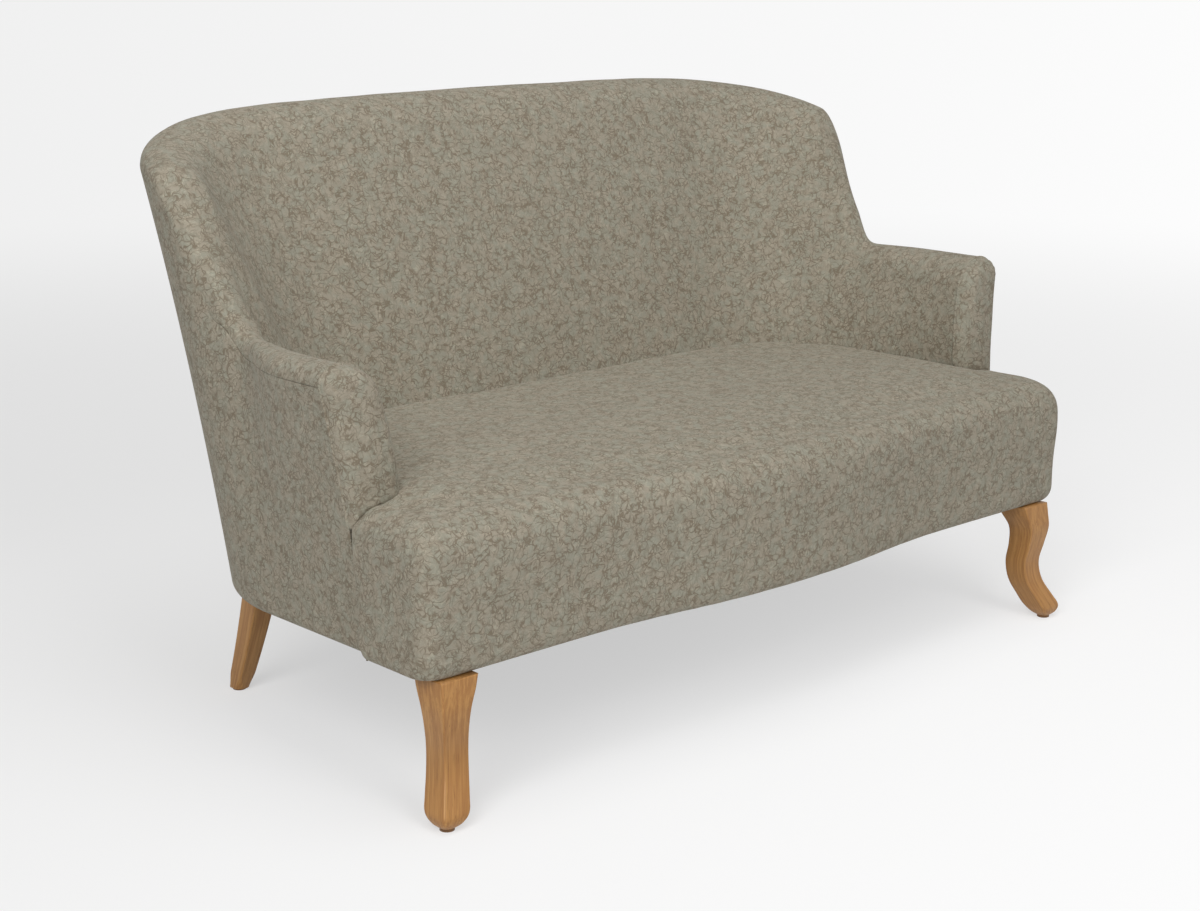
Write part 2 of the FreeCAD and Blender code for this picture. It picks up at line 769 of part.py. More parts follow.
# Seat padding and cover
def make_seat():
    space = arm_space(seat_clearance)
    shell = seat_block(0.0, back_y).cut(seat_block(cover, back_y + 5.0, 6.0))
    save("seat_cover", shell.cut(space))
    core = prism(lip_inset - gap, base_height - 5.0, foam_z, back_y + 10.0)
    below = box(-1000, 1000, -1000, 1000, base_height - 10.0, frame_bottom)
    side = side_rail_x() + gap
    between_rails = box(-side, side, block_back_y - gap, back_y, base_height - 5.0, foam_z)
    foam = seat_block(cover + gap, back_y).cut(core).cut(below).cut(between_rails)
    save("seat_foam", foam.cut(arm_space(2 * seat_clearance)))


# Dust cover under the frame
def make_dust_cover():
    margin = seat_edge_radius + cover + gap
    segments, half = seat_front(margin, margin, 0.0)
    inset = base_edge_radius + cover + gap

    def edge(s):
        p = place(s, 1, inset, base_height)
        return (p.x, p.y)
    groups = [[edge(s) for s in group] for group in ((0.0, 1.0), (1.0, 1.25, 1.5), (1.5, 1.75, 2.0))]
    outline = wire(closed(segments + mirrored(groups)), lambda q: V(q[0], q[1], base_height))
    sheet = Part.Face(outline).extrude(V(0, 0, dust_cover_thickness))
    for x, y in LEG_CENTRES:
        sheet = sheet.cut(cylinder(bolt_diameter + 1.0, 10, V(x, y, base_height - 5)))
    save("dust_cover", sheet)


LEG_CENTRES = [(side * x, y) for side in (-1, 1)
               for x, y in ((front_leg_x, front_leg_y), (rear_leg_x, rear_leg_y))]


# Legs: square sections with eased edges, drawn along a curved centre line
def leg_ring(x, y, wide, deep, z):
    r = leg_edge
    a, b = wide / 2, deep / 2
    k = r * (1 - math.sqrt(0.5))
    turns = (((a, b - r), (a - k, b - k), (a - r, b)), ((-a + r, b), (-a + k, b - k), (-a, b - r)),
             ((-a, -b + r), (-a + k, -b + k), (-a + r, -b)), ((a - r, -b), (a - k, -b + k), (a, -b + r)))
    return wire(closed([list(turn) for turn in turns]), lambda q: V(x + q[0], y + q[1], z))


def leg(x, y, step_x, step_y, rings):
    wires = [leg_ring(x + share * step_x, y + share * step_y, wide, deep, z)
             for z, wide, deep, share in rings]
    body = loft(wires)
    body = body.cut(cylinder(bolt_diameter + gap, bolt_in_leg + 1, V(x, y, base_height - bolt_in_leg)))
    return body.cut(cylinder(glide_pin_diameter + gap / 2, glide_pin_length + 0.5,
                             V(x + step_x, y + step_y, glide_thickness - 0.2)))


def make_legs():
    top, toe = base_height - gap, glide_thickness
    t, k, a, f = front_leg_top, front_knee, front_ankle, front_foot
    height = top - toe

    def rings(*rows):
        return [(toe + height * share, wide, deep, step) for share, wide, deep, step in rows]
    front = rings((1.0, t, t, 0.0), (0.91, mix(k, t, 0.5), mix(k, t, 0.5), 0.12), (0.79, k, k, 0.30),
                  (0.64, mix(a, k, 0.3), mix(a, k, 0.3), 0.24), (0.48, a, a, 0.12),
                  (0.32, mix(a, f, 0.2), mix(a, f, 0.2), 0.26), (0.18, mix(a, f, 0.8), mix(a, f, 0.8), 0.64),
                  (0.09, f, f, 0.90), (0.035, 0.8 * f, 0.8 * f, 0.98), (0.0, 0.55 * f, 0.55 * f, 1.0))
    save_pair("leg_front", leg(front_leg_x, front_leg_y, front_foot_step_x, front_foot_step_y, front))
    w, d = rear_leg_foot_x, rear_leg_foot_y
    rear = rings((1.0, rear_leg_top, rear_leg_top, 0.0), (0.66, mix(w, rear_leg_top, 0.68),
                 mix(d, rear_leg_top, 0.70), 0.30), (0.33, mix(w, rear_leg_top, 0.34),
                 mix(d, rear_leg_top, 0.36), 0.63), (0.0, w, d, 1.0))
    save_pair("leg_rear", leg(rear_leg_x, rear_leg_y, rear_foot_step_x, rear_foot_step_y, rear))


# Leg bolts, nuts and floor glides
def make_fastenings():
    bolts, nuts = [], []
    for x, y in LEG_CENTRES:
        foot = base_height - bolt_in_leg
        bolts.append(cylinder(bolt_diameter, rail_top - foot, V(x, y, foot)))
        nut = cylinder(nut_flange_diameter, nut_flange_thickness, V(x, y, rail_top))
        nut = nut.fuse(cylinder(nut_barrel_diameter, nut_barrel_length, V(x, y, rail_top - nut_barrel_length)))
        nuts.append(nut.cut(cylinder(bolt_diameter + gap, 2 * nut_barrel_length + 2.0,
                                     V(x, y, rail_top - 2 * nut_barrel_length))))
    save("leg_bolts", Part.makeCompound(bolts))
    save("leg_nuts", Part.makeCompound(nuts))
    glides = []
    for x, y in ((front_leg_x + front_foot_step_x, front_leg_y + front_foot_step_y),
                 (rear_leg_x + rear_foot_step_x, rear_leg_y + rear_foot_step_y)):
        glide = cylinder(glide_diameter, glide_thickness, V(x, y, 0))
        glides.append(glide.fuse(cylinder(glide_pin_diameter, glide_pin_length + glide_thickness, V(x, y, 0))))
    save_both("floor_glides", Part.makeCompound(glides))


make_covers()
make_padding()
make_facings(seat_block(-gap, back_y))
make_frame()
make_suspension()
make_seat()
make_dust_cover()
make_legs()
make_fastenings()
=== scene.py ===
# Two-seat settee: upholstery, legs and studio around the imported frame.
# Blender works in metres. The section formulas are in millimetres and are scaled where a point is placed.
import json
import math

import bmesh
import bpy
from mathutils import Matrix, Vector, noise

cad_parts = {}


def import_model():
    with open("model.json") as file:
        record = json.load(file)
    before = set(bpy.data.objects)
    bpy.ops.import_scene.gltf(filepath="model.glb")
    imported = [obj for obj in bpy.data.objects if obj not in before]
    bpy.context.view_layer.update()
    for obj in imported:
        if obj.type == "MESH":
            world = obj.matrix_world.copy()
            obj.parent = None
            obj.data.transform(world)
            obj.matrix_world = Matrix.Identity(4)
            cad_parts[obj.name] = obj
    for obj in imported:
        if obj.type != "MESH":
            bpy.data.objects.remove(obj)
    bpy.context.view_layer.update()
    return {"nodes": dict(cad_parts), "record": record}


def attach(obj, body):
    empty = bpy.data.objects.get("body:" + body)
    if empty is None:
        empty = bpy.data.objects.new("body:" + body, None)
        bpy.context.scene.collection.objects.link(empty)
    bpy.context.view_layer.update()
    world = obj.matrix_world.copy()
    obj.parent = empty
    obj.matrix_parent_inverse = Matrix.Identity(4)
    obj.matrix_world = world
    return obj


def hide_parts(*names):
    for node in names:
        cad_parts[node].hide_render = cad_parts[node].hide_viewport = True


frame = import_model()
MM = 0.001
SIDES = {1: "right", -1: "left"}

# Overall upholstery
FRONT_Y = -394.5
BASE_Z, TOP_Z = 197.0, 868.0
SHOULDER_Z, ARM_Z = 806.0, 584.0
COVER_END_Z = 384.0
COVER = 2.0
HEM_RADIUS = 14.0
HEM_LIP = 9.0
HEM_STEPS = 8
PADDING = 43.0
INNER_BELLY = 7.0

# Outer plan at the base and at the top: front half width, half width, arm setback, corner length,
# corner depth and the rear line
BASE_PLAN = (650.0, 652.0, 178.0, 357.0, 290.0, 312.5)
TOP_PLAN = (719.0, 734.0, 241.0, 308.0, 275.0, 394.5)

# Section of the upholstery, at the arm and at the back
RIDGE_INSET = (34.0, 43.0)
ROLL_WIDTH = (53.0, 55.0)
ROLL_HEIGHT = (51.0, 58.0)
SEAM_DROP = (26.5, 32.0)
WAIST = (6.0, 9.0)
ARM_LEAN, BACK_LEAN = 0.20, 0.224

# Wing between arm and back, and the neck where the outer face is drawn in below it
ARM_TO_BACK = (0.8, 1.7)
WING_RISE = (0.76, 1.22)
WING_RISE_POWER = 2.03
WING_CENTRE, WING_SPREAD = 1.052, 0.055
WING_SEAM_DROP, WING_ROLL_EXTRA = 40.0, 49.0
NECK_CENTRE, NECK_SPREAD, NECK_INSET = 0.906, 0.329, 43.0
NECK_TO_RIDGE, NECK_TO_ROLL = 0.55, 0.35
SHOULDER_START, MIDDLE = 1.2, 3
BACK_SEAM = 1.5

# Seat, as far as the arm fronts need it
SEAT_HALF_WIDTH, SEAT_Z, SEAT_BOW = 664.3, 402.0, 28.0
SEAT_ROLL, SEAT_SIDE_ROLL, SEAT_ROLL_POWER = 55.0, 44.0, 2.4
SEAT_CROWN, CROWN_REACH, CROWN_SIDE_SHIFT = 20.0, 240.0, 32.0
SEAT_VOXEL, SEAT_EASE, SEAT_EASE_ROUNDS = 0.005, 0.5, 6

# Sewn edges: how far in from the edge the cover rolls away and how deep, and the rough length of a station
EDGE_ROLL, EDGE_DEPTH = 4.0, 1.5
ARM_STATION, CORNER_STATION = 330.0, 420.0
# Lip of the inside cover over the seam, inward and upward from the seam
SEAM_LIP = ((7.0, 0.2), (3.2, 0.2), (0.5, 0.2), (0.0, 0.45), (-0.3, 1.3), (-0.25, 3.0))
LIP_END = 0.14

# Facing: a padded panel over the arm front, domed forward
FACING_EDGE, FACING_FOOT, FACING_BACK, FACING_BULGE = 0.5, 335.0, 5.0, 20.0
FACING_ROLL, FACING_SWELL, FACING_PRESSED = 27.5, 1.6, 1.5
FACING_CENTRE_DROP, FACING_CENTRE_RISE = 46.0, 40.0
FACING_RINGS = 22
# Rings behind the panel's edge: inset and distance forward
FACING_RETURN = ((5.0, 0.6), (1.6, 0.9), (0.5, 2.0), (0.0, 3.6))
# Points up the outer side, over the outer and the inner roll, down the inner side and along the foot
FACING_POINTS = (46, 20, 26, 40, 16)
GATHER_HEIGHT, GATHER_COUNT, CREASE_DEPTH = 0.7, 26, 2.0

# Welt round the arm front
WELT_RADIUS, WELT_INSET, WELT_FORWARD = 2.2, 0.7, 2.5
WELT_BELOW_BASE, WELT_END_Z = 3.5, 410.0
WELT_AROUND = 14
WELT_TAPER = (0.72, 0.93, 1.0)

# Legs: centre at the top, step of the foot, and rows of height share, width, depth and share of the step
FRONT_LEG = dict(x=607.0, y=-331.5, step=(29.0, -33.5))
REAR_LEG = dict(x=534.0, y=196.0, step=(15.0, 56.0))
FRONT_LEG_ROWS = ((0.0, 19, 19, 1.0), (0.035, 34, 34, 0.98), (0.09, 43, 43, 0.90), (0.18, 42.8, 42.8, 0.64),
                  (0.32, 41, 41, 0.26), (0.48, 40.4, 40.4, 0.12), (0.64, 42.6, 42.6, 0.24),
                  (0.79, 48, 48, 0.30), (0.91, 56, 56, 0.12), (1.0, 60, 60, 0.0))
REAR_LEG_ROWS = ((0.0, 25, 28, 1.0), (0.33, 30.1, 32.3, 0.63), (0.66, 35.2, 36.4, 0.30), (1.0, 40, 40, 0.0))
LEG_TOP_Z, LEG_FOOT_Z = 196.7, 3.0
LEG_EDGE, TOE_EDGE, TOE_Z = 2.5, 7.0, 30.0
LEG_LOW_PART, LEG_LOW_LEVELS, LEG_LEVELS, LEG_LEVEL_STEP = 0.35, 24, 52, 2.2
CORNER_POINTS = 9


def mix(a, b, t):
    return a + (b - a) * t


def smooth(a, b, x):
    t = min(max((x - a) / (b - a), 0.0), 1.0)
    return t * t * (3 - 2 * t)


def bump(x, centre, spread):
    return math.exp(-((x - centre) / spread) ** 2)


def spread_out(a, b, count):
    return [mix(a, b, i / (count - 1)) for i in range(count)]


# Stations, closest together at the sewn edge of the arm front and over the wing
ARM_TO_MIDDLE = ([0.0, 0.002, 0.005, 0.01] + spread_out(0.018, 0.7, 42) + spread_out(0.708, 1.3, 76)
                 + spread_out(1.31, 2.0, 70) + spread_out(2.012, 3.0, 60))
ARM_PART = [s for s in ARM_TO_MIDDLE if s < 1.492] + [1.494, 1.497, BACK_SEAM]
BACK_PART = [BACK_SEAM, 1.503, 1.506] + [s for s in ARM_TO_MIDDLE if s > 1.508]


# Outer plan of the arms and back: station 0 is the arm front, 1 the start of the corner, 2 its end and
# 3 the middle of the back
def plan_point(s, front_half, half, setback, length, corner, rear_y):
    start_y = rear_y - corner
    if s <= 1:
        return mix(front_half, half, s), mix(FRONT_Y + setback, start_y, s)
    if s <= 2:
        turn = (s - 1) * math.pi / 2
        return half - length + length * math.cos(turn), start_y + corner * math.sin(turn)
    return (half - length) * (3 - s), rear_y


def place(s, side, u, z):
    # Point at inset u from the outer face and height z; side is 1 for the right and -1 for the left
    low, high = plan_point(s, *BASE_PLAN), plan_point(s, *TOP_PLAN)
    k = (z - BASE_Z) / (TOP_Z - BASE_Z)
    turn = min(max(s - 1, 0.0), 1.0) * math.pi / 2
    x = mix(low[0], high[0], k) - u * math.cos(turn)
    y = mix(low[1], high[1], k) - u * math.sin(turn)
    return Vector((side * x, y, z)) * MM


class Section:
    # Upholstered section at one station, in millimetres: u inward from the outer face, z up
    def __init__(self, s):
        back = smooth(*ARM_TO_BACK, s)
        neck = NECK_INSET * bump(s, NECK_CENTRE, NECK_SPREAD)
        wing = bump(s, WING_CENTRE, WING_SPREAD)
        along = max((s - SHOULDER_START) / (MIDDLE - SHOULDER_START), -0.05)
        crest = TOP_Z - (TOP_Z - SHOULDER_Z) * (1 - along) ** 4
        self.ridge_z = mix(ARM_Z, crest, smooth(*WING_RISE, s) ** WING_RISE_POWER)
        self.seam_u = neck
        self.seam_z = self.ridge_z - mix(*SEAM_DROP, back) - WING_SEAM_DROP * wing
        self.ridge_u = mix(*RIDGE_INSET, back) + NECK_TO_RIDGE * neck
        self.roll_width = mix(*ROLL_WIDTH, back) - NECK_TO_ROLL * neck
        self.roll_height = mix(*ROLL_HEIGHT, back) + WING_ROLL_EXTRA * wing
        self.waist = mix(*WAIST, back)
        self.lean = mix(ARM_LEAN * smooth(0, 1, s), BACK_LEAN, back)
        self.end_angle = math.atan(self.roll_height / self.roll_width * self.lean)

    def outer_roll(self, inset, share):
        # From the seam (share 0) up to the ridge (share 1)
        a = math.pi - share * math.pi / 2
        return (self.ridge_u + (self.ridge_u - self.seam_u - inset) * math.cos(a),
                self.seam_z + (self.ridge_z - self.seam_z - inset) * math.sin(a))

    def inner_roll(self, inset, share):
        # From the ridge (share 0) down to the inner face (share 1)
        a = mix(math.pi / 2, self.end_angle, share)
        return (self.ridge_u + (self.roll_width - inset) * math.cos(a),
                self.ridge_z - self.roll_height + (self.roll_height - inset) * math.sin(a))

    def inner_face(self, inset, z):
        u, top = self.inner_roll(inset, 1)
        share = min(max((top - z) / (top - COVER_END_Z), 0.0), 1.0)
        return u + (top - z) * self.lean + 4 * INNER_BELLY * share * (1 - share), z

    def outer_face(self, inset, z):
        share = min(max((z - BASE_Z) / (self.seam_z - BASE_Z), 0.0), 1.0)
        return self.seam_u * share ** 2 + 4 * self.waist * share * (1 - share) + inset, z

    def over_the_top(self, inset, outer_points, inner_points):
        # The outer roll without its first point, then the inner roll
        return ([self.outer_roll(inset, t) for t in spread_out(0, 1, outer_points)[1:]]
                + [self.inner_roll(inset, t) for t in spread_out(0, 1, inner_points)[1:]])

    def down_the_inside(self, inset, end_z, points):
        top = self.inner_roll(inset, 1)[1]
        return [self.inner_face(inset, z) for z in spread_out(top, end_z, points)[1:]]


# Mesh helpers
def new_object(name, verts, faces, shade_smooth=True):
    mesh = bpy.data.meshes.new(name)
    mesh.from_pydata([tuple(v) for v in verts], [], faces)
    mesh.validate()
    obj = bpy.data.objects.new(name, mesh)
    bpy.context.scene.collection.objects.link(obj)
    bm = bmesh.new()
    bm.from_mesh(mesh)
    bmesh.ops.remove_doubles(bm, verts=bm.verts, dist=1e-5)
    bmesh.ops.recalc_face_normals(bm, faces=bm.faces)
    bm.to_mesh(mesh)
    bm.free()
    for p in mesh.polygons:
        p.use_smooth = shade_smooth
    return obj


def ring_faces(rings, size):
    # Quads between closed rings of equal size
    faces = []
    for r in range(rings - 1):
        for i in range(size):
            j = (i + 1) % size
            faces.append((r * size + i, r * size + j, (r + 1) * size + j, (r + 1) * size + i))
    return faces


def tube_faces(rings, size):
    # The same with the two ends closed
    first, last = range(size), range((rings - 1) * size, rings * size)
    return ring_faces(rings, size) + [tuple(first), tuple(reversed(last))]


def sweep(name, path, section):
    # Closed sections along path, a list of (station, side)
    rings = [[place(s, side, u, z) for u, z in section(s)] for s, side in path]
    verts = [v for ring in rings for v in ring]
    return new_object(name, verts, tube_faces(len(rings), len(rings[0])))


def soft_noise(obj, amount, scale, seed, keep):
    # Unevenness of stuffed fabric: each point moves along its normal by smooth noise, weighted by keep
    mesh = obj.data
    increment, lacunarity, octaves = 1.0, 2.0, 2
    normals = [v.normal.copy() for v in mesh.vertices]
    for v, n in zip(mesh.vertices, normals):
        weight = keep(v.co)
        if weight:
            p = v.co * scale + Vector((seed, 2 * seed, -seed))
            v.co += n * (amount * weight * noise.fractal(p, increment, lacunarity, octaves))
    mesh.update()


def both_sides(group):
    return [(s, 1) for s in group] + [(s, -1) for s in group[-2::-1]]


def one_side(group, side):
    return [(s, side) for s in group]


# Covers
def end_roll(distance):
    # Extra inset near a sewn edge
    t = min(max(distance / EDGE_ROLL, 0.0), 1.0)
    return EDGE_DEPTH * (1 - math.sqrt(1 - (1 - t) ** 2))


def tub_section(s):
    # Inside cover and padding: lip at the seam, over the ridge, down the inner face, back up behind the foam
    c = Section(s)
    inset = end_roll(s * ARM_STATION)
    out = [(c.seam_u + inset + inward, c.seam_z + up) for inward, up in SEAM_LIP]
    out += [c.outer_roll(inset, t) for t in spread_out(LIP_END, 1, 16)]
    out += [c.inner_roll(inset, t) for t in spread_out(0, 1, 22)[1:]]
    out += c.down_the_inside(inset, COVER_END_Z, 44)
    low_u = c.outer_face(PADDING, COVER_END_Z)[0]
    out.append((mix(out[-1][0], low_u, 0.5), COVER_END_Z))
    out += [c.outer_face(PADDING, z) for z in spread_out(COVER_END_Z, c.seam_z - 0.2, 7)]
    return out


def outside_section(low_s, high_s):
    # Outside cover between its sewn edges, from the seam down to the hem that turns under the base
    def section(s):
        c = Section(s)
        inset = end_roll(min((s - low_s) * ARM_STATION, (high_s - s) * CORNER_STATION))
        seam = c.seam_z - 0.05

        def skin(depth):
            top = seam - depth
            pts = [(c.seam_u + 7, top), (c.seam_u + 3.2, top), (c.seam_u + inset + 0.3, top - 0.05)]
            zs = [top - 0.5] + spread_out(seam - 8, BASE_Z + HEM_RADIUS, 44)
            pts += [c.outer_face(depth + inset, z) for z in zs]
            foot = pts[-1][0]
            r = HEM_RADIUS - depth
            for i in range(1, HEM_STEPS + 1):
                a = i / HEM_STEPS * math.pi / 2
                pts.append((foot + r - r * math.cos(a), BASE_Z + HEM_RADIUS - r * math.sin(a)))
            pts.append((foot + r + HEM_LIP, BASE_Z + depth))
            return pts
        return skin(0.0) + skin(COVER)[::-1]
    return section


def seat_top(x, y):
    # Height of the seat form beside the arm fronts, at a point of the plan
    side = SEAT_HALF_WIDTH - abs(x)
    if side <= 0:
        return 0.0
    reach = min(y - FRONT_Y - SEAT_BOW, side + CROWN_SIDE_SHIFT)
    roll = (1 - (1 - min(side / SEAT_SIDE_ROLL, 1.0)) ** SEAT_ROLL_POWER) ** (1 / SEAT_ROLL_POWER)
    return mix(SEAT_Z - SEAT_ROLL, SEAT_Z, roll) + SEAT_CROWN * smooth(SEAT_ROLL, CROWN_REACH, reach)


def facing_outline(c):
    # Closed outline of the arm front
    outer, outer_roll, inner_roll, inner, foot = FACING_POINTS
    outline = [c.outer_face(FACING_EDGE, z) for z in spread_out(FACING_FOOT, c.seam_z, outer)]
    outline += c.over_the_top(FACING_EDGE, outer_roll, inner_roll)
    outline += c.down_the_inside(FACING_EDGE, FACING_FOOT, inner)
    start, end = outline[-1][0], outline[0][0]
    outline += [(mix(start, end, t), FACING_FOOT) for t in spread_out(0, 1, foot)[1:-1]]
    return outline


def facing(side):
    c = Section(0.0)
    outline = facing_outline(c)
    centre_low, centre_high = FACING_FOOT + FACING_CENTRE_RISE, c.ridge_z - FACING_CENTRE_DROP
    verts = []

    def middle(z):
        return 0.5 * (c.outer_face(0, z)[0] + c.inner_face(0, z)[0])

    def centre(z):
        # Point of the centre line that the outline at height z is drawn towards
        return middle(min(z, centre_high)), min(max(z, centre_low), centre_high)

    def drawn_in(u, z, share):
        m = centre(z)
        return place(0.0, side, mix(u, m[0], share), mix(z, m[1], share))

    def pressed(at, forward, probe):
        # Forward distance, taken back where the seat stands in front of the panel
        high = seat_top(abs(at.x) / MM, at.y / MM - probe)
        share = smooth(high - 1, high - 9, at.z / MM) if at.z / MM < high else 0.0
        return mix(forward, FACING_BACK - FACING_PRESSED, share)

    def gathered(u, z, share, reach):
        # Small gathers where the fabric is drawn round the top, and a crease along its outer side
        angle = math.atan2(z - centre_high, u - middle(centre_high))
        amount = bump(share, 0.10, 0.10) * smooth(centre_high - 20, centre_high + 25, z)
        waves = math.sin(angle * GATHER_COUNT + 1.3 * math.sin(angle * 7))
        crease = bump(reach, 8.0, 1.7) * bump(angle, 2.05, 0.50)
        return GATHER_HEIGHT * amount * waves - CREASE_DEPTH * crease

    def add(at, forward):
        verts.append(at - Vector((0, forward, 0)) * MM)

    for inset, forward in FACING_RETURN:
        for u, z in outline:
            add(drawn_in(u, z, inset / max(math.dist((u, z), centre(z)), 1.0)), forward)
    for ring in range(FACING_RINGS):
        share = ring / FACING_RINGS
        for u, z in outline:
            reach = share * math.dist((u, z), centre(z))
            k = min(reach / FACING_ROLL, 1.0)
            dome = FACING_BULGE * math.sqrt(1 - (1 - k) ** 2)
            forward = FACING_BACK + dome + FACING_SWELL * smooth(0.5, 1, share)
            at = drawn_in(u, z, share)
            add(at, pressed(at, forward, forward) + gathered(u, z, share, reach))
    for u, z in outline:
        at = place(0.0, side, *centre(z))
        full = FACING_BACK + FACING_BULGE
        add(at, pressed(at, full + FACING_SWELL, full))
    size = len(outline)
    faces = ring_faces(len(FACING_RETURN) + FACING_RINGS + 1, size) + [tuple(reversed(range(size)))]
    obj = new_object("facing_" + SIDES[side], verts, faces)
    soft_noise(obj, 0.0010, 16.0, 5.0 + side, lambda p: smooth(0.36, 0.44, p.z))
    return obj


def welt(side):
    # Piping round the arm front, from under the base up over the top and down to the seat
    c = Section(0.0)
    path = [c.outer_face(WELT_INSET, z) for z in spread_out(BASE_Z - WELT_BELOW_BASE, c.seam_z, 60)]
    path += c.over_the_top(WELT_INSET, 16, 20)
    path += c.down_the_inside(WELT_INSET, WELT_END_Z, 24)
    points = [place(0.0, side, u, z) - Vector((0, WELT_FORWARD * MM, 0)) for u, z in path]
    verts, last = [], len(points) - 1
    across = Vector((0, -1, 0))
    for i, p in enumerate(points):
        along = (points[min(i + 1, last)] - points[max(i - 1, 0)]).normalized()
        a = along.cross(across).normalized()
        b = along.cross(a).normalized()
        r = WELT_RADIUS * MM * WELT_TAPER[min(i, last - i, 2)]
        for k in range(WELT_AROUND):
            turn = 2 * math.pi * k / WELT_AROUND
            verts.append(p + (a * math.cos(turn) + b * math.sin(turn)) * r)
    return new_object("welt_" + SIDES[side], verts, tube_faces(len(points), WELT_AROUND))


def seat_skin(name, nodes):
    # One closed skin over the given CAD nodes, with its edges softened
    verts, faces = [], []
    for node in nodes:
        mesh = frame["nodes"][node].data
        start = len(verts)
        verts += [v.co.copy() for v in mesh.vertices]
        faces += [tuple(start + i for i in p.vertices) for p in mesh.polygons]
    mesh = bpy.data.meshes.new(name)
    mesh.from_pydata([tuple(v) for v in verts], [], faces)
    obj = bpy.data.objects.new(name, mesh)
    bpy.context.scene.collection.objects.link(obj)
    modifier = obj.modifiers.new("remesh", "REMESH")
    modifier.mode = "VOXEL"
    modifier.voxel_size = SEAT_VOXEL
    modifier.adaptivity = 0.0
    ease = obj.modifiers.new("ease", "SMOOTH")
    ease.factor = SEAT_EASE
    ease.iterations = SEAT_EASE_ROUNDS
    bpy.context.view_layer.update()
    evaluated = obj.evaluated_get(bpy.context.evaluated_depsgraph_get())
    final = bpy.data.meshes.new_from_object(evaluated)
    obj.modifiers.clear()
    obj.data = final
    for p in final.polygons:
        p.use_smooth = True
    return obj


# Legs
def curve_through(rows, z):
    # Smooth curve through the rows, which start with their height, from the foot up
    i = 0
    while i < len(rows) - 2 and z > rows[i + 1][0]:
        i += 1
    p1, p2 = rows[i], rows[i + 1]
    p0, p3 = rows[max(i - 1, 0)], rows[min(i + 2, len(rows) - 1)]
    h = p2[0] - p1[0]
    t = (z - p1[0]) / h
    out = []
    for k in range(1, len(p1)):
        m1 = (p2[k] - p0[k]) / (p2[0] - p0[0]) * h
        m2 = (p3[k] - p1[k]) / (p3[0] - p1[0]) * h
        out.append((2 * t ** 3 - 3 * t ** 2 + 1) * p1[k] + (t ** 3 - 2 * t ** 2 + t) * m1
                   + (-2 * t ** 3 + 3 * t ** 2) * p2[k] + (t ** 3 - t ** 2) * m2)
    return out


def leg(name, spot, side, shares):
    # Rounded square sections along a curved centre line, closest together at the foot
    rows = [(mix(LEG_FOOT_Z, LEG_TOP_Z, height), *rest) for height, *rest in shares]
    low_part = [t * t * LEG_LOW_PART for t in spread_out(0, 1, LEG_LOW_LEVELS)]
    zs = [mix(LEG_FOOT_Z, LEG_TOP_Z, t) for t in low_part]
    zs += spread_out(zs[-1] + LEG_LEVEL_STEP, LEG_TOP_Z, LEG_LEVELS)

    def centre(share):
        return spot["x"] + spot["step"][0] * share, spot["y"] + spot["step"][1] * share

    verts = []
    for z in zs:
        w, d, share = curve_through(rows, z)
        x, y = centre(share)
        toe = 1 - smooth(LEG_FOOT_Z, TOE_Z, z)
        r = min(LEG_EDGE + TOE_EDGE * toe, 0.48 * min(w, d))
        for cx, cy, start in ((1, 1, 0), (-1, 1, 1), (-1, -1, 2), (1, -1, 3)):
            for k in range(CORNER_POINTS):
                a = (start + k / (CORNER_POINTS - 1)) * math.pi / 2
                px = cx * (w / 2 - r) + r * math.cos(a)
                py = cy * (d / 2 - r) + r * math.sin(a)
                verts.append(Vector((side * (x + px), y + py, z)) * MM)
    obj = new_object(name, verts, tube_faces(len(zs), 4 * CORNER_POINTS))
    # Coordinates that follow the curved centre line, for the grain, shifted so that no two legs match
    grain = obj.data.attributes.new("grain", "FLOAT_VECTOR", "POINT")
    for v, item in zip(obj.data.vertices, grain.data):
        x, y = centre(curve_through(rows, v.co.z / MM)[2])
        shift = Vector((side * 0.31 + spot["y"] * MM, 0.17, 0))
        item.vector = v.co - Vector((side * x, y, 0)) * MM + shift
    return obj


